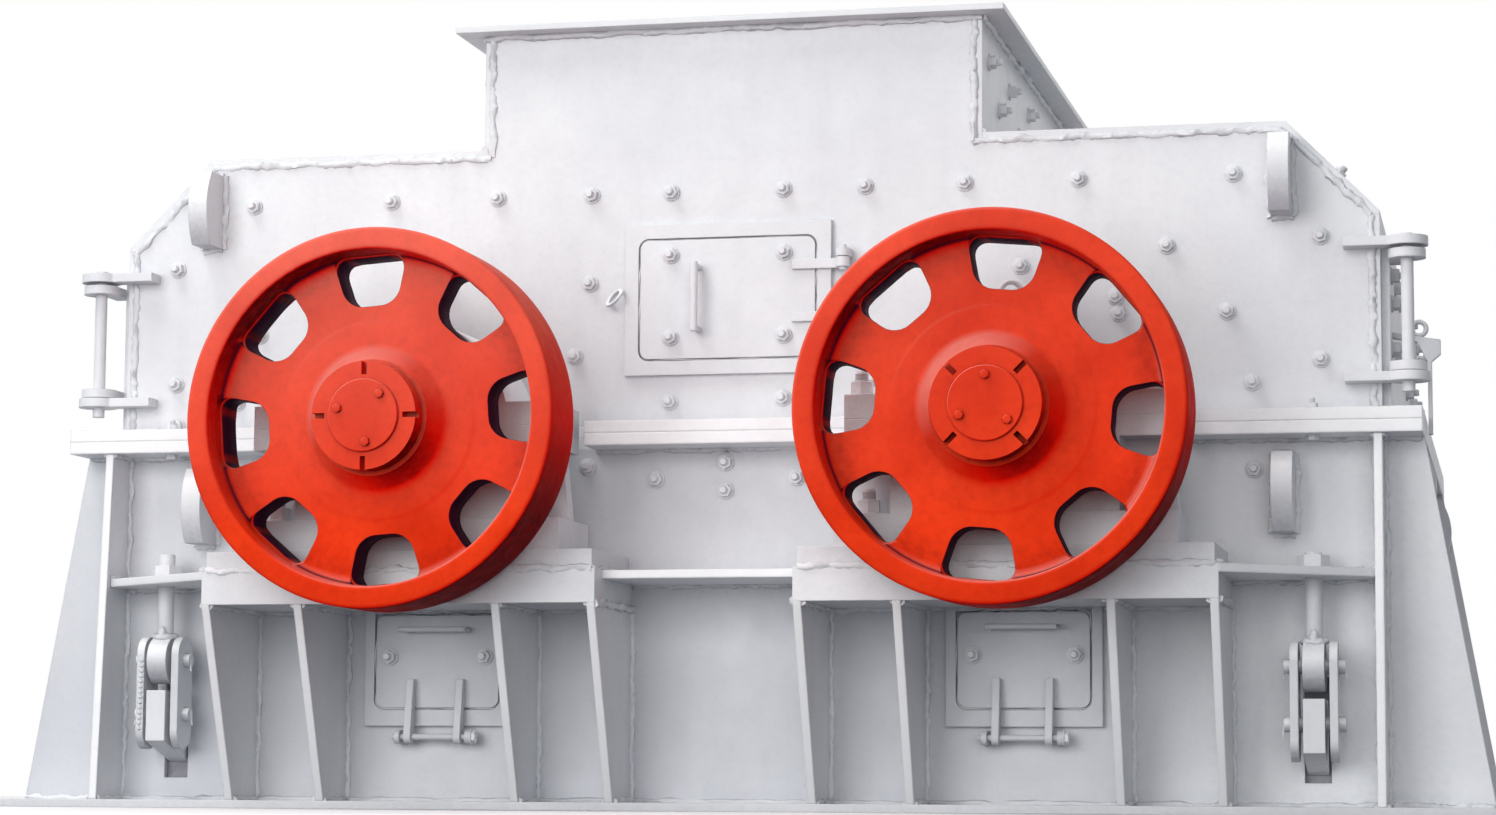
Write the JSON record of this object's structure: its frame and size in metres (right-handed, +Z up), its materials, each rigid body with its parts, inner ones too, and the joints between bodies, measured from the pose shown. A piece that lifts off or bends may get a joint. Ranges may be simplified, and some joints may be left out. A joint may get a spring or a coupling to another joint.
{
  "type": "sand making machine",
  "caption": "Welded twin-rotor crusher housing with a feed hopper, red spoked flywheels on outside bearings, hinged inspection and end doors, and screw-set grate beams.",
  "frame": {"origin": "middle of the footprint, on the underside of the base plate", "axes": "+X along the machine to its right end, +Y from front to back, +Z up"},
  "size_m": [3.662, 2.872, 1.956],
  "materials": {
    "body_paint": "satin light grey paint",
    "wheel_paint": "satin red-orange paint",
    "bare_steel": "machined",
    "dark_casting": "rough worn"
  },
  "bodies": {
    "housing": {"base_frame": "body_paint", "lower_wall_front": "body_paint", "lower_wall_back": "body_paint", "lower_end_walls": "body_paint", "ribs_front": "body_paint", "ribs_back": "body_paint", "bearing_seats": "body_paint", "shelves": "body_paint", "lower_flange": "body_paint", "upper_flange": "body_paint", "upper_wall_front": "body_paint", "upper_wall_back": "body_paint", "roof_plates": "body_paint", "end_frames": "body_paint", "hopper_sides": "body_paint", "hopper_rim": "body_paint", "bearings_front": "body_paint", "bearings_back": "body_paint", "bearing_caps_front": "body_paint", "bearing_caps_back": "body_paint", "door_frame": "body_paint", "hatch_frames": "body_paint", "back_covers": "body_paint", "lifting_lugs": "body_paint", "end_hinges": "body_paint", "adjusting_nuts": "body_paint"},
    "rotor_left": {"shaft_left": "bare_steel", "discs_left": "dark_casting", "hammers_left": "dark_casting", "flywheel_left_front": "wheel_paint", "flywheel_left_back": "wheel_paint", "lock_nuts_left": "wheel_paint", "end_caps_left": "wheel_paint"},
    "rotor_right": {"shaft_right": "bare_steel", "discs_right": "dark_casting", "hammers_right": "dark_casting", "flywheel_right_front": "wheel_paint", "flywheel_right_back": "wheel_paint", "lock_nuts_right": "wheel_paint", "end_caps_right": "wheel_paint"},
    "inspection_door": {"inspection_door": "body_paint", "door_handle": "body_paint"},
    "hatch_left": {"hatch_left": "body_paint"},
    "end_door_left": {"end_door_left": "body_paint"},
    "grate_left": {"grate_beam_left": "body_paint", "grate_hangers_left": "body_paint"},
    "hatch_right": {"hatch_right": "body_paint"},
    "end_door_right": {"end_door_right": "body_paint"},
    "grate_right": {"grate_beam_right": "body_paint", "grate_hangers_right": "body_paint"}
  },
  "joints": [
    {"name": "rotor_left_spin", "type": "hinge", "parent": "housing", "child": "rotor_left", "pos_m": [-0.733, 0, 0.916], "axis": [0, 1, 0], "continuous": true},
    {"name": "rotor_right_spin", "type": "hinge", "parent": "housing", "child": "rotor_right", "pos_m": [0.733, 0, 0.916], "axis": [0, 1, 0], "continuous": true},
    {"name": "inspection_door_hinge", "type": "hinge", "parent": "housing", "child": "inspection_door", "pos_m": [0.295, -0.858, 1.256], "axis": [0, 0, 1], "range_deg": [0, 90]},
    {"name": "hatch_left_hinge", "type": "hinge", "parent": "housing", "child": "hatch_left", "pos_m": [-0.733, -0.858, 0.178], "axis": [1, 0, 0], "range_deg": [0, 100]},
    {"name": "hatch_right_hinge", "type": "hinge", "parent": "housing", "child": "hatch_right", "pos_m": [0.733, -0.858, 0.178], "axis": [1, 0, 0], "range_deg": [0, 100]},
    {"name": "end_door_left_hinge", "type": "hinge", "parent": "housing", "child": "end_door_left", "pos_m": [-1.647, -0.849, 1.18], "axis": [0, 0, 1], "range_deg": [0, 110]},
    {"name": "end_door_right_hinge", "type": "hinge", "parent": "housing", "child": "end_door_right", "pos_m": [1.647, -0.849, 1.18], "axis": [0, 0, -1], "range_deg": [0, 110]},
    {"name": "grate_left_lift", "type": "slide", "parent": "housing", "child": "grate_left", "axis": [0, 0, 1], "range_m": [-0.035, 0.023]},
    {"name": "grate_right_lift", "type": "slide", "parent": "housing", "child": "grate_right", "axis": [0, 0, 1], "range_m": [-0.013, 0.045]}
  ]
}
